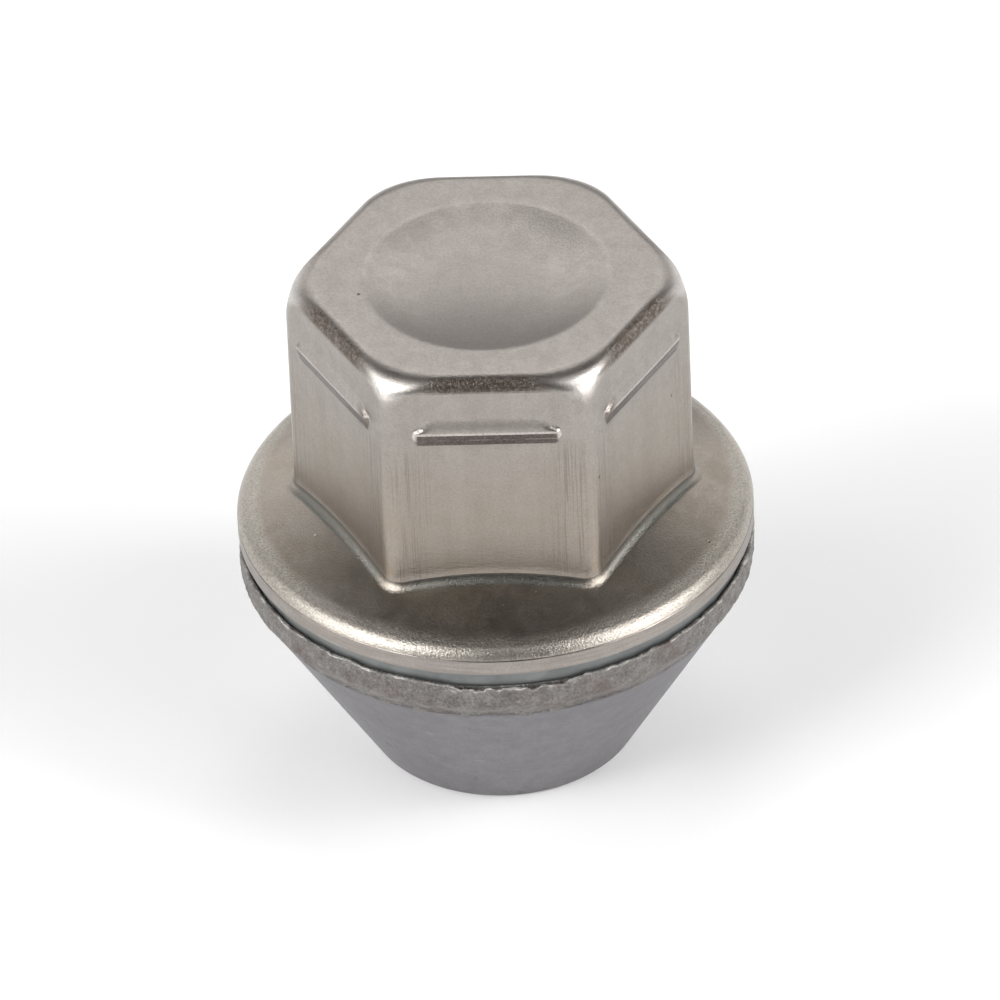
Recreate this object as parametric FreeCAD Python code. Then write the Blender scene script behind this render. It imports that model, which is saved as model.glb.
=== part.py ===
import FreeCAD, Part
import math
import os

# Capped wheel nut with a captive cone washer, in millimetres.
# The axis is Z. The nut stands on the small end of the washer at z = 0, and one flat faces -Y.

# Cap: drawn from thin stainless sheet
ACROSS_FLATS = 22.0
HEX_CORNER_RADIUS = 1.4
CAP_HEIGHT = 18.9
CAP_WALL = 0.45
CROWN_EDGE_RADIUS = 1.05
CROWN_CORNER_RADIUS = 6.2
CROWN_CORNER_DROP = 2.8
DISH_MARGIN = 3.3
DISH_DEPTH = 1.05
FOOT_CHAMFER = 0.5
SKIRT_RADIUS = 16.15
SKIRT_HEIGHT = 1.1
LIP_RADIUS = 1.25
LIP_START_ANGLE = 20.0
FLANGE_SLOPE = 23.0

# One raised ridge on each flat, pressed outwards
RIDGE_END_MARGIN = 0.9
RIDGE_WIDTH = 1.3
RIDGE_RISE = 0.35
RIDGE_BELOW_TOP = 4.2

# Nut body: forged steel, threaded M14 x 1.5
THREAD_DIAMETER = 14.0
THREAD_PITCH = 1.5
CAP_FIT = 0.05
BODY_CORNER_EASE = 0.4
TOP_AIR_GAP = 1.8
BODY_CHAMFER = 1.0
BODY_CHAMFER_SLOPE = 30.0
RING_HEIGHT = 1.2
COLLAR_WALL = 0.6
FLARE_RISE = 0.7
FLARE_WALL = 0.6
COLLAR_END_ROOM = 0.7
ENTRY_CLEARANCE = 0.15

# Washer: forged steel with a 60 degree seat
SMALL_END_WIDTH = 0.62
SEAT_ANGLE = 60.0
BAND_STEP = 0.05
BAND_HEIGHT = 2.2
BAND_BEVEL = 0.9
BAND_BEVEL_ANGLE = 40.0
RIM_HEIGHT = 0.6
RIM_CLEARANCE = 0.15
RIM_DRAFT = 0.1
EDGE_BREAK = 0.15
RUNNING_CLEARANCE = 0.08
SEAT_GAP = 0.05
GROOVE_BOTTOM = 2.6
GROOVE_TOP = 6.3
GROOVE_DEPTH = 1.1
END_PLAY = 0.15

SIDES = 6
HALF_SECTOR = math.pi / SIDES
QUARTER_TURN = math.pi / 2
OUTSIDE_STEPS = 4
INSIDE_STEPS = 1
THREAD_DEPTH = 0.5413 * THREAD_PITCH

APOTHEM = ACROSS_FLATS / 2
DISH_RADIUS = APOTHEM - DISH_MARGIN
FLAT_WIDTH = 2 * (APOTHEM - HEX_CORNER_RADIUS) * math.tan(HALF_SECTOR)
RIDGE_LENGTH = FLAT_WIDTH - 2 * RIDGE_END_MARGIN
FLANGE_TAN = math.tan(math.radians(FLANGE_SLOPE))
THREAD_MINOR_RADIUS = THREAD_DIAMETER / 2 - THREAD_DEPTH
ENTRY_RADIUS = THREAD_DIAMETER / 2 + ENTRY_CLEARANCE
COLLAR_RADIUS = ENTRY_RADIUS + COLLAR_WALL
FLARE_RADIUS = COLLAR_RADIUS + FLARE_RISE
WASHER_BORE = COLLAR_RADIUS + RUNNING_CLEARANCE

SEAT_TAN = math.tan(math.radians(SEAT_ANGLE / 2))
SEAT_SMALL_RADIUS = WASHER_BORE + SMALL_END_WIDTH
BAND_RADIUS = SKIRT_RADIUS - BAND_STEP
SEAT_LARGE_RADIUS = BAND_RADIUS - BAND_BEVEL
SEAT_HEIGHT = (SEAT_LARGE_RADIUS - SEAT_SMALL_RADIUS) / SEAT_TAN
BAND_BOTTOM_Z = SEAT_HEIGHT + BAND_BEVEL / math.tan(math.radians(BAND_BEVEL_ANGLE))
WASHER_HEIGHT = BAND_BOTTOM_Z + BAND_HEIGHT
WASHER_SEAT_Z = WASHER_HEIGHT - RIM_HEIGHT
RING_BOTTOM_Z = WASHER_SEAT_Z + SEAT_GAP
SKIRT_BOTTOM_Z = RING_BOTTOM_Z + RING_HEIGHT
LIP_Z = SKIRT_BOTTOM_Z + SKIRT_HEIGHT
TOP_Z = SKIRT_BOTTOM_Z + CAP_HEIGHT
CROWN_SPRING_Z = TOP_Z - CROWN_EDGE_RADIUS
BODY_TOP_Z = TOP_Z - CAP_WALL - TOP_AIR_GAP
BODY_INSET = CAP_WALL + CAP_FIT
RING_RADIUS = SKIRT_RADIUS - BODY_INSET
COLLAR_END_Z = GROOVE_BOTTOM + COLLAR_END_ROOM
FLARE_TOP_Z = GROOVE_TOP - END_PLAY
ORIGIN = FreeCAD.Vector(0, 0, 0)
AXIS = FreeCAD.Vector(0, 0, 1)


def point(r, z):
    return FreeCAD.Vector(r, 0, z)


def revolve(edges):
    """Turn a closed profile in the XZ plane round the Z axis."""
    return Part.Face(Part.Wire(edges)).revolve(ORIGIN, AXIS, 360)


def lines(points):
    return [Part.makeLine(point(*a), point(*b)) for a, b in zip(points, points[1:])]


def arc(centre, radius, start_angle, end_angle):
    """An arc of the profile; the angles are in degrees, from outwards towards up."""
    marks = []
    for angle in (start_angle, (start_angle + end_angle) / 2, end_angle):
        turn = math.radians(angle)
        marks.append(point(centre[0] + radius * math.cos(turn), centre[1] + radius * math.sin(turn)))
    return Part.Arc(*marks).toShape()


def last_point(edge):
    """Last point of an edge of the profile, as radius and height."""
    last = edge.valueAt(edge.LastParameter)
    return last.x, last.z


def hexagon(apothem, corner_radius, z):
    """Hexagon with rounded corners; one side faces -Y."""
    reach = (apothem - corner_radius) / math.cos(HALF_SECTOR)
    arcs = []
    for side in range(SIDES):
        corner = HALF_SECTOR - QUARTER_TURN + side * 2 * HALF_SECTOR
        centre = FreeCAD.Vector(reach * math.cos(corner), reach * math.sin(corner), z)
        marks = []
        for turn in (corner - HALF_SECTOR, corner, corner + HALF_SECTOR):
            marks.append(centre + FreeCAD.Vector(math.cos(turn), math.sin(turn), 0) * corner_radius)
        arcs.append(marks)
    edges = []
    for marks, following in zip(arcs, arcs[1:] + arcs[:1]):
        edges.append(Part.Arc(*marks).toShape())
        edges.append(Part.makeLine(marks[2], following[0]))
    return Part.Wire(edges)


def hex_prism(apothem, corner_radius, bottom, top):
    return Part.Face(hexagon(apothem, corner_radius, bottom)).extrude(AXIS * (top - bottom))


def crown_section(level, turn, inset):
    """One level of the crown; turn goes from upright to flat as the wall bends into the top."""
    outside_z = level + CROWN_EDGE_RADIUS * math.sin(turn)
    rise = 1 - (TOP_Z - outside_z) / CROWN_CORNER_DROP
    share = 1 - math.cos(rise * QUARTER_TURN)
    corner = HEX_CORNER_RADIUS + (CROWN_CORNER_RADIUS - HEX_CORNER_RADIUS) * share
    apothem = APOTHEM - CROWN_EDGE_RADIUS * (1 - math.cos(turn))
    wall = inset * math.cos(turn)
    return hexagon(apothem - wall, corner - wall, outside_z - inset * math.sin(turn))


def crown(inset, steps):
    """Top of the hexagon: its corners grow rounder on the way up, and its edge bends over."""
    foot = TOP_Z - CROWN_CORNER_DROP
    sections = []
    for step in range(steps):
        sections.append(crown_section(foot + (CROWN_SPRING_Z - foot) * step / steps, 0, inset))
    for step in range(steps + 1):
        sections.append(crown_section(CROWN_SPRING_Z, QUARTER_TURN * step / steps, inset))
    prism = hex_prism(APOTHEM - inset, HEX_CORNER_RADIUS - inset, LIP_Z, foot)
    return prism.fuse(Part.makeLoft(sections, True, True))


def flange(inset, bottom, round_lip):
    """Sloping flange with a lip, which meets the straight skirt at an edge."""
    turn = math.radians(LIP_START_ANGLE)
    centre = (SKIRT_RADIUS - LIP_RADIUS * math.cos(turn), LIP_Z - LIP_RADIUS * math.sin(turn))
    rim = arc(centre, LIP_RADIUS - inset, LIP_START_ANGLE, 90 - FLANGE_SLOPE)
    skirt_top = (SKIRT_RADIUS - inset, LIP_Z)
    slope_start = last_point(rim)
    if not round_lip:
        rim = lines([skirt_top, slope_start])[0]
    slope_end = (0, slope_start[1] + slope_start[0] * FLANGE_TAN)
    edges = lines([slope_start, slope_end, (0, bottom), (skirt_top[0], bottom), skirt_top])
    return revolve(edges + [rim])


def dish(inset):
    """Ball that presses the dish into the top."""
    radius = (DISH_RADIUS ** 2 + DISH_DEPTH ** 2) / (2 * DISH_DEPTH)
    centre = FreeCAD.Vector(0, 0, TOP_Z - DISH_DEPTH + radius)
    return Part.makeSphere(radius + inset, centre, FreeCAD.Vector(1, 0, 0))


def ridge(side):
    """Round bar with round ends, let into one flat so that only its crest stands out."""
    radius = (RIDGE_WIDTH ** 2 / 4 + RIDGE_RISE ** 2) / (2 * RIDGE_RISE)
    depth = APOTHEM + RIDGE_RISE - radius
    height = TOP_Z - RIDGE_BELOW_TOP
    half = RIDGE_LENGTH / 2 - radius
    bar = Part.makeCylinder(radius, 2 * half, FreeCAD.Vector(-half, -depth, height), FreeCAD.Vector(1, 0, 0))
    for x in (-half, half):
        bar = bar.fuse(Part.makeSphere(radius, FreeCAD.Vector(x, -depth, height)))
    bar.rotate(ORIGIN, AXIS, side * 360 / SIDES)
    return bar


def foot_edges(shape):
    """Edges where the upright hexagon meets the flange."""
    middle = (LIP_Z + TOP_Z) / 2
    found = []
    for edge in shape.Edges:
        reach = max(math.hypot(v.Point.x, v.Point.y) for v in edge.Vertexes)
        on_hexagon = reach < APOTHEM / math.cos(HALF_SECTOR)
        if on_hexagon and edge.BoundBox.ZMin > LIP_Z and edge.BoundBox.ZMax < middle:
            found.append(edge)
    return found


def make_cap():
    outside = crown(0, OUTSIDE_STEPS).fuse(flange(0, SKIRT_BOTTOM_Z, True)).removeSplitter()
    outside = outside.makeChamfer(FOOT_CHAMFER, foot_edges(outside)).cut(dish(0))
    for side in range(SIDES):
        outside = outside.fuse(ridge(side))
    inside = crown(CAP_WALL, INSIDE_STEPS).fuse(flange(CAP_WALL, SKIRT_BOTTOM_Z, False))
    return outside.cut(inside.cut(dish(CAP_WALL))).removeSplitter()


def body_hexagon():
    """Hexagon of the nut body, against the flats of the cap, with its top corners turned off."""
    apothem = APOTHEM - CAP_WALL
    prism = hex_prism(apothem, HEX_CORNER_RADIUS - CAP_WALL + BODY_CORNER_EASE, LIP_Z, BODY_TOP_Z)
    inner = apothem - BODY_CHAMFER / 2
    outer = apothem / math.cos(HALF_SECTOR)
    drop = (outer - inner) * math.tan(math.radians(BODY_CHAMFER_SLOPE))
    turned = [(0, BODY_TOP_Z), (inner, BODY_TOP_Z), (outer, BODY_TOP_Z - drop), (outer, LIP_Z)]
    return prism.common(revolve(lines(turned + [(0, LIP_Z), turned[0]])))


def collar():
    """Collar under the flange, flared outwards at its end to hold the washer."""
    outline = [(0, RING_BOTTOM_Z), (COLLAR_RADIUS, RING_BOTTOM_Z), (COLLAR_RADIUS, FLARE_TOP_Z)]
    outline += [(FLARE_RADIUS, FLARE_TOP_Z - FLARE_RISE), (FLARE_RADIUS, COLLAR_END_Z), (0, COLLAR_END_Z)]
    return revolve(lines(outline + outline[:1]))


def bore():
    """Thread bore with its lead-in, opening out inside the flare."""
    mouth = FLARE_RADIUS - FLARE_WALL
    bell_top = COLLAR_END_Z + 2 * (mouth - ENTRY_RADIUS)
    lead_top = FLARE_TOP_Z + ENTRY_RADIUS - THREAD_MINOR_RADIUS
    outline = [(0, COLLAR_END_Z), (mouth, COLLAR_END_Z), (ENTRY_RADIUS, bell_top)]
    outline += [(ENTRY_RADIUS, FLARE_TOP_Z), (THREAD_MINOR_RADIUS, lead_top)]
    outline += [(THREAD_MINOR_RADIUS, BODY_TOP_Z), (0, BODY_TOP_Z)]
    return revolve(lines(outline + outline[:1]))


def make_nut_body():
    outside = flange(BODY_INSET, RING_BOTTOM_Z, False).fuse(body_hexagon()).fuse(collar())
    return outside.removeSplitter().cut(bore())


def make_seat_washer():
    """Cone seat, band with a bevel under it, and raised rim, with the bore and its groove."""
    rim_foot = RING_RADIUS + RIM_CLEARANCE
    groove = WASHER_BORE + GROOVE_DEPTH
    foot = (SEAT_SMALL_RADIUS - EDGE_BREAK, 0)
    outline = [foot, (SEAT_SMALL_RADIUS + EDGE_BREAK * SEAT_TAN, EDGE_BREAK)]
    outline += [(SEAT_LARGE_RADIUS, SEAT_HEIGHT), (BAND_RADIUS, BAND_BOTTOM_Z)]
    outline += [(BAND_RADIUS, WASHER_HEIGHT), (rim_foot + RIM_DRAFT, WASHER_HEIGHT)]
    outline += [(rim_foot, WASHER_SEAT_Z)]
    outline += [(WASHER_BORE, WASHER_SEAT_Z), (WASHER_BORE, GROOVE_TOP), (groove, GROOVE_TOP - GROOVE_DEPTH)]
    outline += [(groove, GROOVE_BOTTOM), (WASHER_BORE, GROOVE_BOTTOM), (WASHER_BORE, EDGE_BREAK)]
    outline += [(WASHER_BORE + EDGE_BREAK, 0), foot]
    return revolve(lines(outline))


os.makedirs("parts", exist_ok=True)
PARTS = {"cap": make_cap(), "nut_body": make_nut_body(), "seat_washer": make_seat_washer()}
for name, shape in PARTS.items():
    shape.exportStep("parts/" + name + ".step")
    print(name, "solids", len(shape.Solids), "volume", round(shape.Volume, 1), "valid", shape.isValid())
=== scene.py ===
import bmesh
import bpy
import math
import numpy as np
from mathutils import Matrix, Vector


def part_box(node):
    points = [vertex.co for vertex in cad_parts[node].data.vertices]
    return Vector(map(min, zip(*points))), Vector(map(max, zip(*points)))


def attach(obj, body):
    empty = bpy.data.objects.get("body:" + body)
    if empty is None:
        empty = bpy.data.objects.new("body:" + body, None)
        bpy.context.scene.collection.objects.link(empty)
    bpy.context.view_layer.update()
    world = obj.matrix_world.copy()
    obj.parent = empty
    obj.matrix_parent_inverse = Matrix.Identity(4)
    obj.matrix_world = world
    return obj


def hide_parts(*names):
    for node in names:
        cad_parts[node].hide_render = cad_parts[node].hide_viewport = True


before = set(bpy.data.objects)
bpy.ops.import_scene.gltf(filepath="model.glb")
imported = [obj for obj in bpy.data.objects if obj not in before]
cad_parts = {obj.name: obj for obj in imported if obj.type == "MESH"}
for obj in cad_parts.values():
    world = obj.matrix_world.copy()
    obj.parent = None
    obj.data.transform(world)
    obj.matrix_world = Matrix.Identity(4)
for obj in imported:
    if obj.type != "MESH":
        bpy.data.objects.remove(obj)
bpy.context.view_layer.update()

# Sizes in millimetres. They are those of the CAD model, but the radius of the nut's ring, the rise of
# the ridges and the washer's ragged edge follow the photo.
MM = 0.001
TAU = 2 * math.pi
HALF_SECTOR = math.pi / 6
APOTHEM = 11.0
CORNER = 1.4
CROWN_EDGE = 1.05
CROWN_CORNER = 6.2
CROWN_DROP = 2.8
DISH_RADIUS = 7.7
DISH_DEPTH = 1.05
DISH_RIM = 0.25
CAP_WALL = 0.45
LIP_RADIUS = 1.25
LIP_START = math.radians(20)
FLANGE_SLOPE = math.radians(23)
FOOT_RADIUS = 1.0
FOOT_START = math.radians(20)
TOP_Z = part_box("cap")[1].z / MM
SKIRT_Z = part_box("cap")[0].z / MM
SKIRT_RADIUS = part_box("cap")[1].x / MM
LIP_Z = SKIRT_Z + 1.1
LIP_LINE_Z = LIP_Z - 0.12
SKIRT_BREAK = 0.1
FOOT_LOW_Z = 18.0
FOOT_HIGH_Z = 20.5
RIDGE_Z = TOP_Z - 3.88
RIDGE_HALF = 4.75
RIDGE_RISE = 0.27
RIDGE_SLOPE = 1.05
RIDGE_CREST = 0.12
RIDGE_FOLD = 0.04
RIDGE_FLANK = 0.94
RIDGE_END = 0.5
ROW_STEP = 0.07
RING_RADIUS = 15.7
RING_Z = SKIRT_Z - 1.2
RING_BREAK = 0.1
COLLAR_RADIUS = 7.75
FLARE_RADIUS = 8.45
FLARE_END_Z = 3.3
FLARE_TOP_Z = 6.15
FLARE_NECK_Z = 5.45
FLARE_WALL = 0.6
FLARE_BREAK = 0.1
LEAD_IN_Z = 4.7
MINOR_RADIUS = 6.188
MAJOR_RADIUS = 7.0
ENTRY_RADIUS = 7.15
PITCH = 1.5
BODY_TOP_Z = TOP_Z - 2.25
BODY_CORNER = 1.35
BODY_CHAMFER = 1.0
BODY_TOP_RADIUS = APOTHEM - CAP_WALL - 0.5
BODY_GAP = 0.05
WASHER_Z = RING_Z + 0.55
WASHER_POCKET_Z = WASHER_Z - 0.6
SEAT_SMALL = 8.45
SEAT_LARGE = 15.2
SEAT_Z = 11.69
BAND_RADIUS = 16.1
BAND_Z = 12.76
WASHER_BORE = 7.83
WASHER_BREAK = 0.15
CONE_FOOT_Z = 0.2
NICK_LIMIT = 0.82
NICK_DEPTH = 0.5
GROOVE_DEPTH = 1.1
GROOVE_Z = 2.6
GROOVE_TOP_Z = 5.2
GROOVE_END_Z = 6.3
RIM_DROP = 0.25
RIM_ROUND = 0.13
RIM_GAP = 0.13
RIM_EDGE = 0.14
RIM_BUMPS = 0.03
CHIP_DEPTH = 0.3
BURR_HEIGHTS = (0.055, 0.035)
BAND_BUMPS = (0.05, 0.035, 0.02)

# Colours of the cap's sheet, with its painted shade and highlights
CLEAN_SHEET = (0.408, 0.375, 0.350)
DULL_SHEET = (0.366, 0.335, 0.308)
STAINED_SHEET = (0.365, 0.314, 0.258)
BLOTCH = (0.25, 0.215, 0.165)
WORN_LIP = (0.58, 0.545, 0.485)
WORN_CORNER = (0.68, 0.65, 0.62)
DISH_SHEET = (0.30, 0.275, 0.26)
# Painted shade along the crown's edges
CROWN_EDGE_SHADE = (0.125, 0.10, 0.083)
FOOT_FILM = (0.19, 0.19, 0.17)
# Painted shade in the crease at the foot of the walls
CREASE_SHADE = (0.09, 0.08, 0.07)
# Painted highlight on the fold of each ridge
RIDGE_FOLD_HIGHLIGHT = (0.66, 0.61, 0.58)
# Painted shade on the downward-facing flank of each ridge
RIDGE_FLANK_SHADE = (0.095, 0.073, 0.07)
# Painted highlights on the tips of the front ridge
RIDGE_TIP_HIGHLIGHT = (0.8, 0.76, 0.72)
# Painted shade on the front ends of the side ridges
RIDGE_END_SHADE = (0.16, 0.14, 0.125)
GRAIN_DARK = (0.16, 0.14, 0.12)
SKIRT_LINE = (0.26, 0.23, 0.205)
DRAW_BAND = (0.20, 0.175, 0.14)
DRAW_LINE = (0.20, 0.175, 0.15)
LIP_SHADOW = (0.13, 0.105, 0.09)
PIT_DARK = (0.08, 0.07, 0.06)
SPECK_WHITE = (0.85, 0.85, 0.83)

# Colours of the nut's plating and of the washer
PLATING = (0.24, 0.252, 0.25)
PLATING_CLOUD = (0.195, 0.206, 0.205)
BAND_LIGHT = (0.285, 0.272, 0.258)
BAND_DARK = (0.19, 0.178, 0.168)
BAND_STREAK = (0.12, 0.105, 0.098)
BAND_PORE = (0.08, 0.07, 0.065)
BAND_SPARK = (0.45, 0.44, 0.42)
BAND_RUST = (0.15, 0.105, 0.095)
BURR_BRIGHT = (0.58, 0.56, 0.53)
# Painted shade inside the washer's rim
RIM_INSIDE_SHADE = (0.08, 0.075, 0.07)
CONE_LIGHT = (0.247, 0.238, 0.248)
CONE_DARK = (0.203, 0.196, 0.206)
CONE_PORE = (0.12, 0.117, 0.125)
CONE_SCRATCH = (0.36, 0.36, 0.36)
BAND_BORDER = (0.13, 0.098, 0.085)

# Floor and softboxes in metres. The camera is in degrees, metres and pixels of the photo, and its
# sensor in millimetres.
FLOOR_HALF = 3.0
FLOOR_PAINT = (0.9, 0.9, 0.9)
FLOOR_GLOW = 0.11
SOFTBOX_SIZE = 0.4
CAMERA_TURN = 1.8
CAMERA_RISE = 37.40
CAMERA_LEAN = -2.385
CAMERA_DISTANCE = 1.20134
FOCAL_PIXELS = 19198.7
AIM_PIXEL = (496.19, 524.67)
AIM_HEIGHT = 0.015
PHOTO_HALF = 500
SENSOR_WIDTH = 36
CLIP_END = 20

# How close points are joined, in metres, and from which angle an edge is sharp
JOIN_DISTANCE = 2e-7
SHARP_ANGLE = math.radians(35)


def step(low, high, value):
    """Smooth step from 0 at low to 1 at high."""
    share = np.clip((value - low) / (high - low), 0, 1)
    return share * share * (3 - 2 * share)


def grain(seed, cells_round, cells_along):
    """Smooth random field over angle and a share along the profile, about -1 to 1."""
    table = np.random.default_rng(seed).uniform(-1, 1, (cells_round, cells_along + 2))

    def value(angle, share):
        u = np.mod(angle / TAU, 1) * cells_round
        v = np.clip(share, 0, 1) * cells_along
        i = np.floor(u).astype(int)
        j = np.floor(v).astype(int)
        fu = step(0, 1, u - i)
        fv = step(0, 1, v - j)
        near = table[i % cells_round, j] * (1 - fu) + table[(i + 1) % cells_round, j] * fu
        far = table[i % cells_round, j + 1] * (1 - fu) + table[(i + 1) % cells_round, j + 1] * fu
        return near * (1 - fv) + far * fv
    return value


def hex_radius(angle, apothem, corner):
    """Distance from the axis to a hexagon with rounded corners; one side faces -Y."""
    local = np.abs(np.mod(angle + math.pi / 2 + HALF_SECTOR, 2 * HALF_SECTOR) - HALF_SECTOR)
    centre = (apothem - corner) / math.cos(HALF_SECTOR)
    off = HALF_SECTOR - local
    round_part = centre * np.cos(off) + np.sqrt(np.maximum(corner ** 2 - (centre * np.sin(off)) ** 2, 0))
    tangent = np.arctan((apothem - corner) * math.tan(HALF_SECTOR) / apothem)
    return np.where(local > tangent, round_part, apothem / np.cos(local))


def surface(radii, heights, angles):
    """Points of a grid from radius and height at every row and angle."""
    radii, heights = np.broadcast_arrays(radii, heights)
    return np.stack([radii * np.cos(angles), radii * np.sin(angles), heights], axis=-1)


def grid_faces(rows, columns, start):
    """Four-sided faces between neighbouring points of a grid."""
    index = np.arange(rows * columns).reshape(rows, columns) + start
    corners = [index[:-1, :-1], index[:-1, 1:], index[1:, 1:], index[1:, :-1]]
    return np.stack(corners, axis=-1).reshape(-1, 4)


def make_piece(name, grids, material, body, node):
    """One mesh from grids of points in millimetres, joined where their edges meet."""
    points = []
    faces = []
    for grid in grids:
        faces += grid_faces(grid.shape[0], grid.shape[1], len(points)).tolist()
        points += (grid.reshape(-1, 3) * MM).tolist()
    mesh = bpy.data.meshes.new(name)
    mesh.from_pydata(points, [], faces)
    work = bmesh.new()
    work.from_mesh(mesh)
    bmesh.ops.remove_doubles(work, verts=work.verts, dist=JOIN_DISTANCE)
    bmesh.ops.recalc_face_normals(work, faces=work.faces)
    work.to_mesh(mesh)
    work.free()
    mesh.materials.append(material)
    mesh.shade_smooth()
    mesh.set_sharp_from_angle(angle=SHARP_ANGLE)
    made = bpy.data.objects.new(name, mesh)
    bpy.context.scene.collection.objects.link(made)
    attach(made, body)
    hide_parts(node)
    return made


def cap_angles():
    """Angles round the cap, closer together at the six corners."""
    tangent = math.atan((APOTHEM - CORNER) * math.tan(HALF_SECTOR) / APOTHEM)
    half = APOTHEM * math.tan(tangent)
    outer = np.linspace(RIDGE_HALF - 0.75, half, 15)
    middle = np.linspace(-outer[0], outer[0], 27)[1:-1]
    flat = np.arctan(np.concatenate([-outer[::-1], middle, outer[:-1]]) / APOTHEM)
    corner = np.linspace(tangent, 2 * HALF_SECTOR - tangent, 13)[:-1]
    side = np.concatenate([flat, corner])
    return np.concatenate([side + n * 2 * HALF_SECTOR for n in range(6)] + [[-tangent + TAU]]) - math.pi / 2


def crown_row(angles, turn, level, inset=0):
    """Radius and height where the crown wall has turned from upright (0) towards flat (90 degrees)."""
    height = level + CROWN_EDGE * math.sin(turn)
    rise = max(0, 1 - (TOP_Z - height) / CROWN_DROP)
    corner = CORNER + (CROWN_CORNER - CORNER) * (1 - math.cos(rise * math.pi / 2))
    wall = inset * math.cos(turn)
    apothem = APOTHEM - CROWN_EDGE * (1 - math.cos(turn)) - wall
    return hex_radius(angles, apothem, corner - wall), height - inset * math.sin(turn)


def ridge_height(angles, radii, heights):
    """How far the pressed ridge stands out of its flat: a soft slope above, a sharp fold, a flank below."""
    local = np.mod(angles + math.pi / 2 + HALF_SECTOR, 2 * HALF_SECTOR) - HALF_SECTOR
    across = np.abs(radii * np.sin(local))
    above = heights - RIDGE_Z
    reach = RIDGE_SLOPE - 0.75 * step(RIDGE_HALF - 1.4, RIDGE_HALF - RIDGE_END, across)
    fall = np.clip((above - RIDGE_CREST) / (reach - RIDGE_CREST), 0, 1)
    upper = 1 - 0.55 * fall - 0.45 * step(0, 1, fall)
    under = np.clip((above + RIDGE_FOLD + RIDGE_FLANK) / RIDGE_FLANK, 0, 1)
    tip = 1 - step(RIDGE_HALF - RIDGE_END, RIDGE_HALF + 0.05, across + 0.3 * np.abs(above + 0.3))
    return RIDGE_RISE * np.where(above > -RIDGE_FOLD, upper, under) * tip


def lip_point(turn, inset=0):
    """Radius and height on the lip, where its surface has turned so far towards flat."""
    rim = LIP_RADIUS - inset
    radius = SKIRT_RADIUS - LIP_RADIUS * math.cos(LIP_START) + rim * math.cos(turn)
    return radius, LIP_Z - LIP_RADIUS * math.sin(LIP_START) + rim * math.sin(turn)


def slope_start(inset=0):
    """Radius and height where the lip passes into the sloping flange."""
    return lip_point(math.pi / 2 - FLANGE_SLOPE, inset)


def dish_rows(inset):
    """Rows from the middle of the dish to its rim."""
    ball = (DISH_RADIUS ** 2 + DISH_DEPTH ** 2) / (2 * DISH_DEPTH)
    centre = TOP_Z - DISH_DEPTH + ball
    fall = DISH_RADIUS / math.sqrt(ball ** 2 - DISH_RADIUS ** 2)
    rows = []
    for radius in np.linspace(0, DISH_RADIUS - DISH_RIM, 20):
        rows.append((radius, centre - math.sqrt((ball + inset) ** 2 - radius ** 2)))
    if inset == 0:
        for radius in np.linspace(DISH_RADIUS - DISH_RIM, DISH_RADIUS + DISH_RIM, 7)[1:]:
            rows.append((radius, TOP_Z - fall * (DISH_RADIUS + DISH_RIM - radius) ** 2 / (4 * DISH_RIM)))
    return rows


def wall_rows(angles):
    """Rows down the flats, closest together at the ridges, and round the foot on to the flange."""
    radius = hex_radius(angles, APOTHEM, CORNER)
    start_radius, start_z = slope_start()
    foot_z = start_z + (start_radius - radius) * math.tan(FLANGE_SLOPE)
    flat_turn = math.pi / 2 - FLANGE_SLOPE
    reach = FOOT_RADIUS * (math.cos(FOOT_START) - math.cos(flat_turn))
    crease = FOOT_RADIUS * (math.sin(flat_turn) - math.sin(FOOT_START)) - reach * math.tan(FLANGE_SLOPE)
    rows = []
    for height in np.arange(TOP_Z - CROWN_DROP - ROW_STEP, RIDGE_Z - 1.0, -ROW_STEP):
        rows.append((radius + ridge_height(angles, radius, height), np.full_like(radius, height)))
    low = rows[-1][1]
    for share in np.linspace(0, 1, 19)[1:]:
        rows.append((radius, low + (foot_z + crease - low) * share))
    for turn in np.linspace(FOOT_START, flat_turn, 11)[1:]:
        outward = FOOT_RADIUS * (math.cos(FOOT_START) - math.cos(turn))
        down = FOOT_RADIUS * (math.sin(turn) - math.sin(FOOT_START))
        rows.append((radius + outward, foot_z + crease - down))
    foot_radius, foot_height = rows[-1]
    for share in np.linspace(0, 1, 15)[1:]:
        out = foot_radius + (start_radius - foot_radius) * share
        rows.append((out, foot_height + (start_z - foot_height) * share))
    return rows


def lip_rows():
    """Rows round the lip, past the fine line under it and down the skirt."""
    rows = []
    for turn in np.linspace(math.pi / 2 - FLANGE_SLOPE, LIP_START, 15)[1:]:
        rows.append(lip_point(turn))
    rows += [(SKIRT_RADIUS - 0.04, LIP_Z - 0.03), (SKIRT_RADIUS, LIP_Z - 0.07), (SKIRT_RADIUS, LIP_LINE_Z)]
    for share in np.linspace(0, 1, 7)[1:]:
        rows.append((SKIRT_RADIUS, LIP_LINE_Z + share * (SKIRT_Z + SKIRT_BREAK - LIP_LINE_Z)))
    rows += [(SKIRT_RADIUS - 0.03, SKIRT_Z + 0.03), (SKIRT_RADIUS - SKIRT_BREAK, SKIRT_Z)]
    return rows


def inside_rows(angles):
    """Coarse rows up the inside of the cap, which the nut body fills."""
    start_radius, start_z = slope_start(CAP_WALL)
    inner = hex_radius(angles, APOTHEM - CAP_WALL, CORNER - CAP_WALL)
    rows = [(SKIRT_RADIUS - CAP_WALL, SKIRT_Z), (SKIRT_RADIUS - CAP_WALL, LIP_Z), (start_radius, start_z)]
    rows += [(inner, start_z + (start_radius - inner) * math.tan(FLANGE_SLOPE))]
    rows += [(inner, TOP_Z - CROWN_DROP)]
    spring = TOP_Z - CROWN_EDGE
    for turn in np.linspace(0, math.pi / 2, 4):
        rows.append(crown_row(angles, turn, spring, CAP_WALL))
    return rows + dish_rows(CAP_WALL)[::-4]


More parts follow.
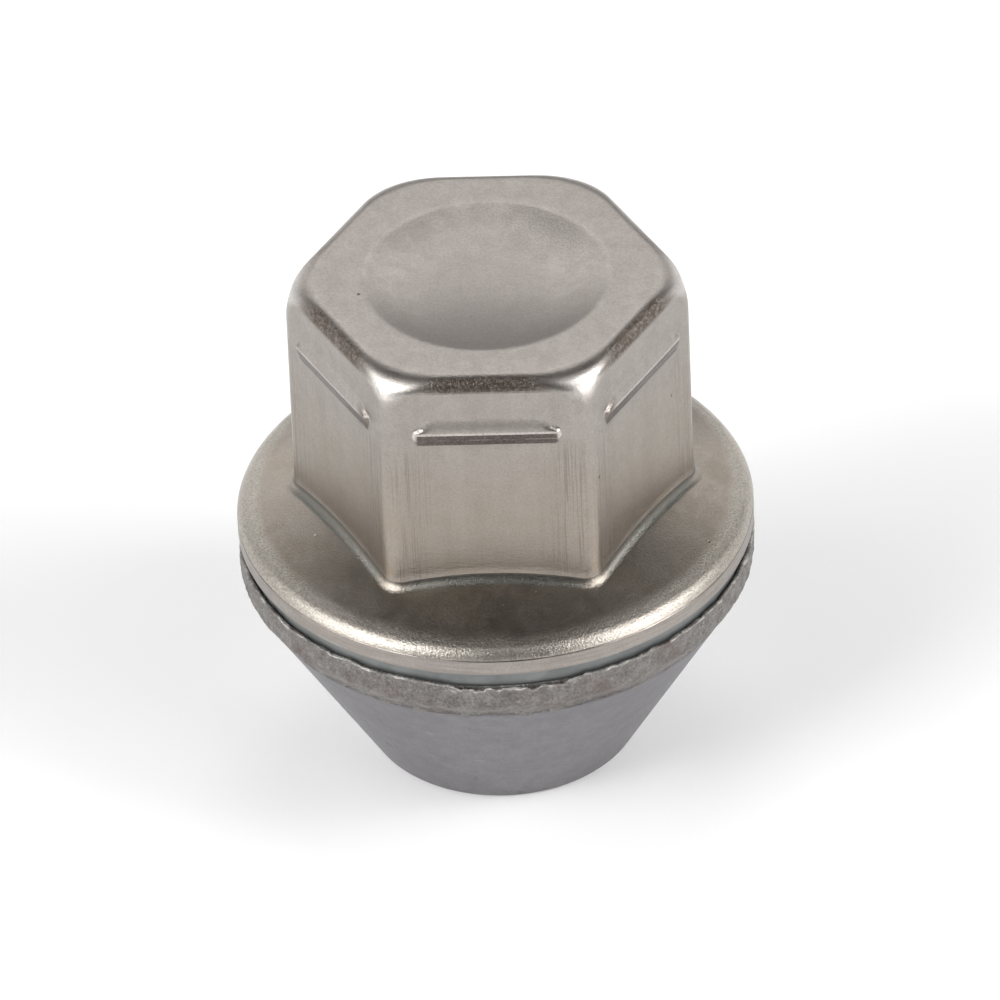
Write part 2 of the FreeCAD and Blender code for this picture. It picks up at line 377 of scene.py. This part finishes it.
def make_cap(material):
    """The whole cap as one skin: dish, crown, walls with ridges, flange, lip, skirt and inside."""
    angles = cap_angles()
    spring = TOP_Z - CROWN_EDGE
    rows = dish_rows(0)
    edge_radius, _ = crown_row(angles, math.pi / 2, spring)
    rim = DISH_RADIUS + DISH_RIM
    for share in np.linspace(0, 1, 6)[1:-1]:
        rows.append((rim + (edge_radius - rim) * share, TOP_Z))
    for turn in np.linspace(math.pi / 2, 0, 14):
        rows.append(crown_row(angles, turn, spring))
    for height in np.linspace(spring, TOP_Z - CROWN_DROP, 11)[1:]:
        rows.append(crown_row(angles, 0, height))
    rows += wall_rows(angles) + lip_rows() + inside_rows(angles)
    grid = np.array([surface(radius, height + 0 * angles, angles) for radius, height in rows])
    return make_piece("cap_shell", [grid], material, "nut", "cap")


def thread_grid(columns):
    """Internal right-hand thread on a slanted grid, cut off level at both ends."""
    angles = np.linspace(0, TAU, columns + 1)
    crest, root = PITCH / 4, PITCH / 8
    flank = (PITCH - crest - root) / 2
    places = [(0, 1), (root, 1), (root + flank, 0), (root + flank + crest, 0)]
    rows = []
    turns = int((BODY_TOP_Z - FLARE_TOP_Z) / PITCH) + 2
    for turn in range(-1, turns):
        for offset, depth in places:
            height = FLARE_TOP_Z + (turn + angles / TAU) * PITCH + offset
            height = np.clip(height, FLARE_TOP_Z, BODY_TOP_Z)
            cut = MINOR_RADIUS + (MAJOR_RADIUS - MINOR_RADIUS) * depth
            entry = ENTRY_RADIUS - (height - FLARE_TOP_Z)
            leave = MAJOR_RADIUS - (BODY_TOP_Z - height)
            rows.append(surface(np.maximum(cut, np.maximum(entry, leave)), height, angles))
    grid = np.array(rows)
    ends = [surface(ENTRY_RADIUS, np.full_like(angles, FLARE_TOP_Z), angles)]
    ends += [surface(ENTRY_RADIUS, np.full_like(angles, BODY_TOP_Z), angles)]
    return np.concatenate([ends[:1], grid, ends[1:]])


def make_nut_body(material):
    """Outside of the nut body, with the flared collar, and the threaded bore."""
    columns = 192
    angles = np.linspace(0, TAU, columns + 1)
    start_radius, start_z = slope_start(CAP_WALL + BODY_GAP)
    inner = hex_radius(angles, APOTHEM - CAP_WALL, BODY_CORNER)
    rows = [(ENTRY_RADIUS, FLARE_TOP_Z), (ENTRY_RADIUS, LEAD_IN_Z)]
    rows += [(FLARE_RADIUS - FLARE_WALL, FLARE_END_Z), (FLARE_RADIUS - FLARE_BREAK, FLARE_END_Z)]
    rows += [(FLARE_RADIUS, FLARE_END_Z + FLARE_BREAK)]
    rows += [(FLARE_RADIUS, FLARE_NECK_Z), (COLLAR_RADIUS, FLARE_TOP_Z), (COLLAR_RADIUS, RING_Z)]
    rows += [(RING_RADIUS - RING_BREAK, RING_Z), (RING_RADIUS - 0.03, RING_Z + 0.03)]
    for share in np.linspace(0, 1, 5):
        rows.append((RING_RADIUS, RING_Z + RING_BREAK + share * (LIP_Z - RING_Z - RING_BREAK)))
    rows += [(start_radius, start_z), (inner, start_z + (start_radius - inner) * math.tan(FLANGE_SLOPE))]
    rows += [(inner, BODY_TOP_Z - BODY_CHAMFER), (np.minimum(inner, BODY_TOP_RADIUS), BODY_TOP_Z)]
    rows += [(ENTRY_RADIUS, BODY_TOP_Z)]
    outside = np.array([surface(radius, height + 0 * angles, angles) for radius, height in rows])
    return make_piece("nut_core", [outside, thread_grid(columns)], material, "nut", "nut_body")


def rim_height(angles):
    """Height of the washer's rough top edge: burr on the left and right, chipped away at the front."""
    burr = grain(11, 150, 1)(angles, 0) * BURR_HEIGHTS[0] + grain(12, 420, 1)(angles, 0) * BURR_HEIGHTS[1]
    from_front = np.degrees(np.mod(angles + math.pi / 2 + math.pi, TAU) - math.pi)
    chip = step(-13, -7, from_front) * (1 - step(12, 24, from_front))
    left = step(-110, -60, from_front) * (1 - step(-42, -18, from_front))
    return burr * (1 + 1.4 * chip) + left * 0.04 - chip * CHIP_DEPTH - RIM_DROP


def cone_rows(angles):
    """Rows up the bore's mouth and the cone seat, with a few small nicks in the cone."""
    rows = [(WASHER_BORE + WASHER_BREAK, 0), (SEAT_SMALL - 0.2, 0), (SEAT_SMALL - 0.06, 0.05)]
    foot = SEAT_SMALL + 0.08
    for share in np.linspace(0, 1, 45):
        rows.append((foot + share * (SEAT_LARGE - foot), CONE_FOOT_Z + share * (SEAT_Z - CONE_FOOT_Z)))
    nicks = grain(31, 160, 24)
    grid = []
    for radius, height in rows:
        nick = np.maximum(nicks(angles, height / SEAT_Z) - NICK_LIMIT, 0) * NICK_DEPTH * (height > 0.3)
        grid.append(surface(radius - nick, height + 0 * angles, angles))
    return grid


def band_rows(angles):
    """Rows up the bevel and the rough band, over its ragged edge and in to the rim."""
    rough = [grain(21, 90, 5), grain(22, 240, 9), grain(23, 700, 16)]
    edge = WASHER_Z + rim_height(angles)
    shoulder = edge - RIM_ROUND
    grid = []
    for share in np.linspace(0, 1, 29)[1:]:
        height = SEAT_Z + share * (shoulder - SEAT_Z)
        bevel = step(0, 1.5, (height - SEAT_Z) / (BAND_Z - SEAT_Z))
        bumps = sum(field(angles, share) * depth for field, depth in zip(rough, BAND_BUMPS))
        bumps = bumps * (0.6 + 0.4 * step(0.1, 0.4, share))
        radius = SEAT_LARGE + (BAND_RADIUS - SEAT_LARGE) * bevel + bumps
        grid.append(surface(radius, height, angles))
    for turn in (0.4, 0.8, 1.2):
        inward = RIM_EDGE * (1 - math.cos(turn)) - RIM_BUMPS * rough[2](angles, turn / 2)
        grid.append(surface(radius - inward, shoulder + RIM_ROUND * math.sin(turn), angles))
    start = radius - RIM_EDGE
    for share in (0.35, 0.75):
        across = start + (RING_RADIUS + RIM_GAP - start) * share
        grid.append(surface(across, edge + RIM_BUMPS * rough[2](angles, share), angles))
    return grid


def make_washer(material):
    """Cone seat, rough band with a ragged top edge, the pocket for the nut, and the bore with its groove."""
    angles = np.linspace(0, TAU, 721)
    rim = RING_RADIUS + RIM_GAP
    rows = [(rim, WASHER_Z - 0.4), (rim - 0.01, WASHER_POCKET_Z), (COLLAR_RADIUS + 1, WASHER_POCKET_Z)]
    rows += [(WASHER_BORE, WASHER_POCKET_Z), (WASHER_BORE, GROOVE_END_Z)]
    rows += [(WASHER_BORE + GROOVE_DEPTH, GROOVE_TOP_Z), (WASHER_BORE + GROOVE_DEPTH, GROOVE_Z)]
    rows += [(WASHER_BORE, GROOVE_Z), (WASHER_BORE, WASHER_BREAK), (WASHER_BORE + WASHER_BREAK, 0)]
    inside = [surface(radius, height + 0 * angles, angles) for radius, height in rows]
    grid = np.array(cone_rows(angles) + band_rows(angles) + inside)
    return make_piece("cone_washer", [grid], material, "washer", "seat_washer")


class Shader:
    """Short way to build a node material on coordinates in millimetres."""

    def __init__(self, name, metallic):
        self.material = bpy.data.materials.new(name)
        self.material.use_nodes = True
        self.tree = self.material.node_tree
        self.output = self.tree.nodes["Principled BSDF"]
        self.output.inputs["Metallic"].default_value = metallic
        place = self.add("ShaderNodeTexCoord").outputs["Object"]
        self.place = self.vector("MULTIPLY", place, (1000, 1000, 1000))
        split = self.add("ShaderNodeSeparateXYZ", {0: self.place})
        self.height = split.outputs["Z"]
        self.back = split.outputs["Y"]
        flat = self.vector("MULTIPLY", self.place, (1, 1, 0))
        self.radius = self.add("ShaderNodeVectorMath", {0: flat}, operation="LENGTH").outputs[1]
        turn = self.math("ARCTAN2", split.outputs["Y"], split.outputs["X"])
        self.from_corner = self.math("PINGPONG", turn, HALF_SECTOR)
        normal = self.add("ShaderNodeNewGeometry").outputs["True Normal"]
        self.upward = self.add("ShaderNodeSeparateXYZ", {0: normal}).outputs["Z"]

    def add(self, kind, values=None, **settings):
        made = self.tree.nodes.new(kind)
        for key, value in settings.items():
            setattr(made, key, value)
        for key, value in (values or {}).items():
            if hasattr(value, "is_linked"):
                self.tree.links.new(value, made.inputs[key])
            else:
                made.inputs[key].default_value = value
        return made

    def vector(self, operation, first, second):
        return self.add("ShaderNodeVectorMath", {0: first, 1: second}, operation=operation).outputs[0]

    def math(self, operation, first, second=0.0):
        return self.add("ShaderNodeMath", {0: first, 1: second}, operation=operation).outputs[0]

    def product(self, *factors):
        made = factors[0]
        for factor in factors[1:]:
            made = self.math("MULTIPLY", made, factor)
        return made

    def noise(self, scale, detail=2.0, stretch=(1, 1, 1), rough=0.5):
        place = self.vector("MULTIPLY", self.place, stretch)
        values = {"Vector": place, "Scale": scale, "Detail": detail, "Roughness": rough}
        return self.add("ShaderNodeTexNoise", values).outputs[0]

    def ramp(self, value, low, high, start=0.0, end=1.0):
        values = {"Value": value, "From Min": low, "From Max": high, "To Min": start, "To Max": end}
        return self.add("ShaderNodeMapRange", values, interpolation_type="SMOOTHSTEP").outputs[0]

    def mix(self, share, first, second):
        values = {0: share, 6: (*first, 1) if isinstance(first, tuple) else first}
        values[7] = (*second, 1) if isinstance(second, tuple) else second
        return self.add("ShaderNodeMix", values, data_type="RGBA").outputs[2]

    def spots(self, scale, size, channel, rare):
        """Round spots that fade over the two sizes, in the cells whose own random value is high."""
        cells = self.add("ShaderNodeTexVoronoi", {"Vector": self.place, "Scale": scale})
        own = self.add("ShaderNodeSeparateColor", {0: cells.outputs["Color"]}).outputs[channel]
        return self.product(self.ramp(cells.outputs["Distance"], *size), self.ramp(own, *rare))

    def finish(self, colour, roughness, height):
        """Joins colour, roughness and a bump height in millimetres to the shader."""
        self.tree.links.new(colour, self.output.inputs["Base Color"])
        self.tree.links.new(roughness, self.output.inputs["Roughness"])
        bump = self.add("ShaderNodeBump", {"Height": height, "Strength": 1.0, "Distance": MM})
        self.tree.links.new(bump.outputs[0], self.output.inputs["Normal"])
        return self.material


class SheetPlaces:
    """Masks from 0 to 1 for the places of the cap that look different."""

    def __init__(self, s):
        wall = s.ramp(s.math("ABSOLUTE", s.upward), 0.35, 0.1)
        beside = s.product(s.ramp(s.from_corner, 0.27, 0.1), s.ramp(s.from_corner, 0.0, 0.05))
        self.skirt = s.ramp(s.height, LIP_Z + 0.02, LIP_Z - 0.01)
        self.flats = s.product(wall, s.ramp(s.height, LIP_Z + 0.4, LIP_Z + 2))
        self.drawn = s.product(self.flats, beside, s.ramp(s.height, RIDGE_Z - 0.4, RIDGE_Z - 2.2))
        self.lip = s.product(s.ramp(s.height, LIP_Z + 1.15, LIP_Z + 0.8),
                             s.ramp(s.height, LIP_Z, LIP_Z + 0.05))
        self.flange = s.product(s.ramp(s.upward, 0.8, 0.88), s.ramp(s.height, LIP_Z + 5.2, LIP_Z + 4.6))
        self.foot = s.product(s.ramp(s.upward, 0.12, 0.3), s.ramp(s.upward, 0.925, 0.88),
                              s.ramp(s.height, FOOT_HIGH_Z + 0.3, FOOT_HIGH_Z - 0.3),
                              s.ramp(s.height, FOOT_LOW_Z - 0.1, FOOT_LOW_Z + 0.1))
        # Crown edges that take the painted shade, weaker at the corners and towards the back
        self.crown = s.product(s.ramp(s.upward, 0.05, 0.3), s.ramp(s.upward, 0.99, 0.86),
                               s.ramp(s.height, TOP_Z - 1.55, TOP_Z - 1.25),
                               s.ramp(s.radius, DISH_RADIUS + 0.5, DISH_RADIUS + 1.2),
                               s.ramp(s.from_corner, 0.12, 0.3, 0.1, 1.0),
                               s.ramp(s.back, 1.0, 6.0, 1.0, 0.15))
        self.corner = s.product(s.ramp(s.from_corner, 0.2, 0.05), s.ramp(s.height, TOP_Z - 2.0, TOP_Z - 1.2),
                                s.ramp(s.upward, 0.1, 0.3), s.ramp(s.upward, 0.9, 0.7))
        self.dish = s.product(s.ramp(s.radius, DISH_RADIUS - 1.5, 2.5),
                              s.ramp(s.height, TOP_Z - 1.5, TOP_Z - 1.3))


def stained_sheet(s, at, mottle):
    """Mottled sheet, stained towards the bottom, with a worn lip, a grey film round the foot and painted
    shade in the crease above it.
    """
    colour = s.mix(s.ramp(mottle, 0.3, 0.7), CLEAN_SHEET, DULL_SHEET)
    low = s.product(s.ramp(s.height, TOP_Z - 3.2, TOP_Z - 11), s.ramp(s.height, LIP_Z, LIP_Z + 0.1))
    stain = s.ramp(s.ramp(s.noise(0.22, 4.0), 0.48, 0.72), 0, 1, 0.55, 0.95)
    colour = s.mix(s.product(low, s.ramp(at.lip, 0, 1, 1, 0.5), stain), colour, STAINED_SHEET)
    blotch = s.ramp(s.noise(0.3, 5.0, rough=0.62), 0.46, 0.64, 0.0, 0.4)
    colour = s.mix(s.product(at.flange, blotch), colour, BLOTCH)
    colour = s.mix(s.product(at.lip, 0.6), colour, WORN_LIP)
    colour = s.mix(s.product(at.foot, s.ramp(s.from_corner, 0.04, 0.12, 0.1, 0.85)), colour, FOOT_FILM)
    # Painted shade in the crease where the walls turn into the foot
    return s.mix(s.product(at.foot, s.ramp(s.upward, 0.62, 0.42), 0.7), colour, CREASE_SHADE)


def crown_shade_and_wear(s, at, colour):
    """Painted shade along the crown's edges, brown, grainy and strongest at the front, corners worn bright,
    and a duller dish.
    """
    colour = s.mix(s.product(at.dish, 0.55), colour, DISH_SHEET)
    # Painted shade along the crown's edges, broken up by grain
    edge_shade = s.ramp(s.noise(4.5, 4.0, rough=0.75), 0.36, 0.56, 0.5, 1.0)
    colour = s.mix(s.product(at.crown, edge_shade), colour, CROWN_EDGE_SHADE)
    return s.mix(s.product(at.corner, 0.7), colour, WORN_CORNER)


def marked_ridges(s, grit, colour):
    """Painted highlight on every ridge's fold and painted shade on its flank, painted highlights on the tips
    in front and painted shade on the ends beside them.
    """
    slant = s.math("SUBTRACT", HALF_SECTOR, s.from_corner)
    out = s.product(s.radius, s.math("COSINE", slant))
    across = s.product(s.radius, s.math("SINE", slant))
    # Painted highlight along the fold at the top of each ridge
    fold = s.product(s.ramp(out, APOTHEM + 0.2, APOTHEM + 0.25), s.ramp(s.height, LIP_Z + 4, LIP_Z + 5),
                     s.ramp(s.height, RIDGE_Z + 0.16, RIDGE_Z + 0.06), s.ramp(s.upward, -0.16, -0.08))
    colour = s.mix(s.product(fold, s.ramp(grit, 0.35, 0.5, 0.35, 0.75)), colour, RIDGE_FOLD_HIGHLIGHT)
    # Painted shade on the downward-facing flank under each ridge's fold, left out along a thin broken band
    shade_break = s.product(s.ramp(s.height, RIDGE_Z - 0.56, RIDGE_Z - 0.5),
                       s.ramp(s.height, RIDGE_Z - 0.42, RIDGE_Z - 0.48),
                       s.ramp(s.noise(0.8, 3.0), 0.45, 0.55, 0.15, 0.75))
    flank = s.product(s.ramp(s.upward, -0.1, -0.22), s.ramp(s.height, LIP_Z, LIP_Z + 0.1),
                      s.ramp(shade_break, 0, 1, 1, 0), s.ramp(across, RIDGE_HALF - 0.2, RIDGE_HALF - 0.45))
    colour = s.mix(s.product(flank, s.ramp(grit, 0.35, 0.65, 0.9, 0.6)), colour, RIDGE_FLANK_SHADE)
    # Painted highlights on the ends of the front ridge
    tip = s.product(s.ramp(across, RIDGE_HALF - 0.5, RIDGE_HALF - 0.25),
                    s.ramp(out, APOTHEM + 0.03, APOTHEM + 0.1),
                    s.ramp(s.height, RIDGE_Z - 0.8, RIDGE_Z - 0.6), s.ramp(s.height, RIDGE_Z + 0.2, RIDGE_Z))
    colour = s.mix(s.product(tip, s.ramp(s.back, -10.0, -10.4, 0.0, 0.75)), colour, RIDGE_TIP_HIGHLIGHT)
    # Painted shade over the front ends of the ridges on the two flats beside the front
    end = s.product(s.ramp(across, RIDGE_HALF - 1.6, RIDGE_HALF - 0.6),
                    s.ramp(out, APOTHEM + 0.02, APOTHEM + 0.08),
                    s.ramp(s.back, -10.2, -9.6), s.ramp(s.back, -4.5, -5.5),
                    s.ramp(s.height, RIDGE_Z - 1.5, RIDGE_Z - 1.2))
    return s.mix(s.product(end, 0.75), colour, RIDGE_END_SHADE)


def lined_sheet(s, at, grit, draw, turned, colour):
    """Fine grain, turned lines on the skirt, draw lines beside the corners and a dark line under the lip."""
    grain_share = s.product(s.ramp(grit, 0.35, 0.62, 1.0, 0.0), s.ramp(at.lip, 0, 1, 0.22, 0.45))
    colour = s.mix(grain_share, colour, GRAIN_DARK)
    colour = s.mix(s.product(at.skirt, s.ramp(turned, 0.42, 0.62, 0.1, 0.5)), colour, SKIRT_LINE)
    bands = s.ramp(s.noise(0.9, 3.0, (1, 1, 0.06)), 0.4, 0.65, 0.0, 0.11)
    colour = s.mix(s.product(at.flats, bands), colour, DRAW_BAND)
    colour = s.mix(s.product(at.drawn, s.ramp(draw, 0.49, 0.63, 0.0, 0.55)), colour, DRAW_LINE)
    line = s.product(s.ramp(s.height, LIP_LINE_Z, LIP_LINE_Z + 0.05), s.ramp(s.height, LIP_Z + 0.06, LIP_Z),
                     s.ramp(s.noise(0.5, 2.0), 0.35, 0.6, 0.2, 0.65))
    return s.mix(line, colour, LIP_SHADOW)


def stainless():
    """Satin drawn sheet, stained and worn, with painted shade and highlights, pits and a few white specks
    near the foot.
    """
    s = Shader("stainless_sheet", 1.0)
    at = SheetPlaces(s)
    grit = s.noise(7.0, 3.0, rough=0.65)
    draw = s.noise(8.0, 3.0, (1, 1, 0.015), 0.6)
    turned = s.noise(6.0, 2.0, (0.05, 0.05, 1))
    mottle = s.noise(0.9, 6.0, rough=0.7)
    colour = crown_shade_and_wear(s, at, stained_sheet(s, at, mottle))
    colour = lined_sheet(s, at, grit, draw, turned, marked_ridges(s, grit, colour))
    pit = s.spots(0.42, (0.06, 0.03), 0, (0.45, 0.55))
    colour = s.mix(s.product(pit, 0.75), colour, PIT_DARK)
    near_foot = s.product(s.ramp(s.height, FOOT_LOW_Z + 1.2, FOOT_LOW_Z + 0.6), s.ramp(s.radius, 14.0, 13.4),
                          s.ramp(s.upward, 0.3, 0.6))
    speck = s.product(s.spots(1.1, (0.09, 0.05), 1, (0.72, 0.8)), near_foot)
    colour = s.mix(s.product(speck, 0.8), colour, SPECK_WHITE)
    worn = s.math("MAXIMUM", at.crown, s.math("MAXIMUM", s.product(at.foot, 0.5), s.product(at.lip, 0.65)))
    height = s.product(grit, s.ramp(worn, 0, 1, 0.016, 0.045))
    height = s.math("ADD", height, s.product(s.noise(3.0, 3.0, (0.6, 0.6, 1.6)), at.flats, 0.012))
    height = s.math("ADD", height, s.product(draw, s.ramp(at.drawn, 0, 1, 0.003, 0.02)))
    height = s.math("ADD", height, s.product(turned, at.skirt, 0.01))
    height = s.math("SUBTRACT", height, s.product(pit, 0.03))
    return s.finish(colour, s.ramp(mottle, 0.3, 0.7, 0.30, 0.36), height)


def plated():
    """Dull bluish plating with faint turned lines."""
    s = Shader("nut_plating", 0.5)
    turned = s.noise(5.0, 2.0, (0.06, 0.06, 1))
    cloud = s.noise(0.5, 3.0)
    colour = s.mix(s.ramp(cloud, 0.35, 0.65), PLATING, PLATING_CLOUD)
    return s.finish(colour, s.ramp(cloud, 0.3, 0.7, 0.5, 0.6), s.product(turned, 0.006))


def band_colour(s, grit, rough, streaks, burr):
    """Grey forging with streaks, pores, sparks, rusty stains, a bright burr and painted shade inside the
    rim.
    """
    colour = s.mix(s.ramp(rough, 0.35, 0.65), BAND_LIGHT, BAND_DARK)
    colour = s.mix(s.ramp(streaks, 0.5, 0.72, 0.0, 0.3), colour, BAND_STREAK)
    colour = s.mix(s.ramp(grit, 0.35, 0.5, 0.55, 0.0), colour, BAND_PORE)
    colour = s.mix(s.ramp(grit, 0.56, 0.68, 0.0, 0.5), colour, BAND_SPARK)
    rust = s.ramp(s.noise(0.3, 4.0), 0.55, 0.68)
    colour = s.mix(s.product(rust, 0.4), colour, BAND_RUST)
    bright = s.ramp(s.noise(0.9, 4.0, rough=0.75), 0.46, 0.62, 0.0, 0.8)
    colour = s.mix(s.product(burr, bright), colour, BURR_BRIGHT)
    # Painted shade on the inside of the rim, next to the gap under the nut's ring
    inside = s.product(s.ramp(s.radius, BAND_RADIUS - 0.1, BAND_RADIUS - 0.22),
                       s.ramp(s.height, BAND_Z + 0.4, BAND_Z + 0.6), s.ramp(grit, 0.4, 0.6, 0.9, 0.5))
    return s.mix(inside, colour, RIM_INSIDE_SHADE)


def cone_colour(s, grit):
    """Smooth purplish grey with clouds, pores and faint scratches."""
    colour = s.mix(s.ramp(s.noise(0.9, 6.0, rough=0.65), 0.3, 0.7), CONE_LIGHT, CONE_DARK)
    colour = s.mix(s.ramp(grit, 0.35, 0.6, 0.3, 0.0), colour, CONE_PORE)
    return s.mix(s.ramp(s.noise(2.5, 2.0, (0.3, 1, 0.12)), 0.68, 0.76, 0.0, 0.3), colour, CONE_SCRATCH)


def forged():
    """Rough forged band over a smooth cone, with an uneven border between them."""
    s = Shader("washer_forging", 0.9)
    level = s.math("ADD", s.height, s.ramp(s.noise(0.8, 4.0), 0.3, 0.7, -0.2, 0.2))
    band = s.ramp(level, SEAT_Z - 0.1, SEAT_Z + 0.15)
    rough = s.noise(1.1, 8.0, rough=0.72)
    grit = s.noise(6.0, 4.0, rough=0.7)
    streaks = s.noise(2.6, 4.0, (1, 1, 0.12), 0.6)
    burr = s.product(s.ramp(s.upward, 0.15, 0.5), s.ramp(s.height, BAND_Z + 0.8, BAND_Z + 1.2))
    colour = s.mix(band, cone_colour(s, grit), band_colour(s, grit, rough, streaks, burr))
    border = s.product(s.ramp(band, 0.05, 0.4), s.ramp(band, 0.95, 0.5), 0.35)
    colour = s.mix(border, colour, BAND_BORDER)
    roughness = s.math("SUBTRACT", s.ramp(band, 0, 1, 0.44, 0.52), s.product(burr, 0.2))
    bumps = s.math("ADD", s.product(rough, 0.14), s.product(streaks, 0.04))
    bumps = s.math("ADD", bumps, s.product(grit, 0.05))
    fine = s.product(s.noise(4.0, 4.0, rough=0.6), 0.010)
    return s.finish(colour, roughness, s.math("ADD", fine, s.product(bumps, band)))


def make_floor():
    """Large pale floor that glows a little, so that its shadows stay soft."""
    corners = [(x * FLOOR_HALF, y * FLOOR_HALF, 0) for x, y in ((-1, -1), (1, -1), (1, 1), (-1, 1))]
    mesh = bpy.data.meshes.new("floor")
    mesh.from_pydata(corners, [], [(0, 1, 2, 3)])
    floor = bpy.data.objects.new("floor", mesh)
    bpy.context.scene.collection.objects.link(floor)
    paint = bpy.data.materials.new("floor_paint")
    paint.use_nodes = True
    shader = paint.node_tree.nodes["Principled BSDF"]
    shader.inputs["Base Color"].default_value = (*FLOOR_PAINT, 1)
    shader.inputs["Emission Color"].default_value = (1, 1, 1, 1)
    shader.inputs["Emission Strength"].default_value = FLOOR_GLOW
    shader.inputs["Roughness"].default_value = 0.9
    mesh.materials.append(paint)


def make_world():
    """Dark room, so that only the softboxes and the glowing floor give light."""
    world = bpy.data.worlds.new("studio")
    world.use_nodes = True
    background = world.node_tree.nodes["Background"]
    background.inputs["Color"].default_value = (1, 1, 1, 1)
    background.inputs["Strength"].default_value = 0.0
    bpy.context.scene.world = world


# Softboxes a metre away: degrees from the front to the right, degrees upwards, and power in watts
SOFTBOXES = [
    (-150, 12, 0.75), (-120, 12, 0.6), (-90, 12, 0.4), (-60, 12, 2.4), (0, 12, 0.35), (60, 12, 3.3),
    (120, 12, 0.7), (150, 12, 0.7), (180, 12, 0.2),
    (-155, 38, 0.8), (-125, 38, 0.2), (-100, 38, 0.4), (-75, 38, 2.0), (-50, 38, 4.0), (50, 38, 0.4),
    (75, 38, 4.6), (100, 38, 0.2), (155, 38, 0.8), (180, 38, 0.6),
    (-50, 62, 0.5), (50, 62, 0.4), (180, 62, 0.9),
]


def direction(turn, rise):
    """Direction of length 1, turned from the front to the right and raised, both in degrees."""
    turn, rise = math.radians(turn), math.radians(rise)
    return Vector((math.sin(turn) * math.cos(rise), -math.cos(turn) * math.cos(rise), math.sin(rise)))


def softbox(turn, rise, power):
    """Square area light aimed at the object."""
    place = direction(turn, rise)
    light = bpy.data.lights.new("softbox", "AREA")
    light.size = SOFTBOX_SIZE
    light.energy = power
    lamp = bpy.data.objects.new("softbox", light)
    lamp.location = place
    lamp.rotation_euler = place.to_track_quat("Z", "Y").to_euler()
    bpy.context.scene.collection.objects.link(lamp)


def make_camera():
    """Long lens at the photo's height, with the small turn and lean that the photo has."""
    back = direction(CAMERA_TURN, CAMERA_RISE)
    lean = Matrix.Rotation(math.radians(CAMERA_LEAN), 3, "Z")
    facing = back.to_track_quat("Z", "Y").to_matrix() @ lean
    metres = CAMERA_DISTANCE / FOCAL_PIXELS
    aside = Vector(((AIM_PIXEL[0] - PHOTO_HALF) * metres, (PHOTO_HALF - AIM_PIXEL[1]) * metres, 0))
    camera = bpy.data.cameras.new("camera")
    camera.sensor_width = SENSOR_WIDTH
    camera.lens = SENSOR_WIDTH * FOCAL_PIXELS / (2 * PHOTO_HALF)
    camera.clip_end = CLIP_END
    place = Vector((0, 0, AIM_HEIGHT)) + back * CAMERA_DISTANCE - facing @ aside
    seen = bpy.data.objects.new("camera", camera)
    seen.matrix_world = Matrix.Translation(place) @ facing.to_4x4()
    bpy.context.scene.collection.objects.link(seen)
    bpy.context.scene.camera = seen


make_camera()
make_world()
make_floor()
for place_and_power in SOFTBOXES:
    softbox(*place_and_power)
make_cap(stainless())
make_nut_body(plated())
make_washer(forged())
bpy.context.scene.view_settings.view_transform = "Standard"
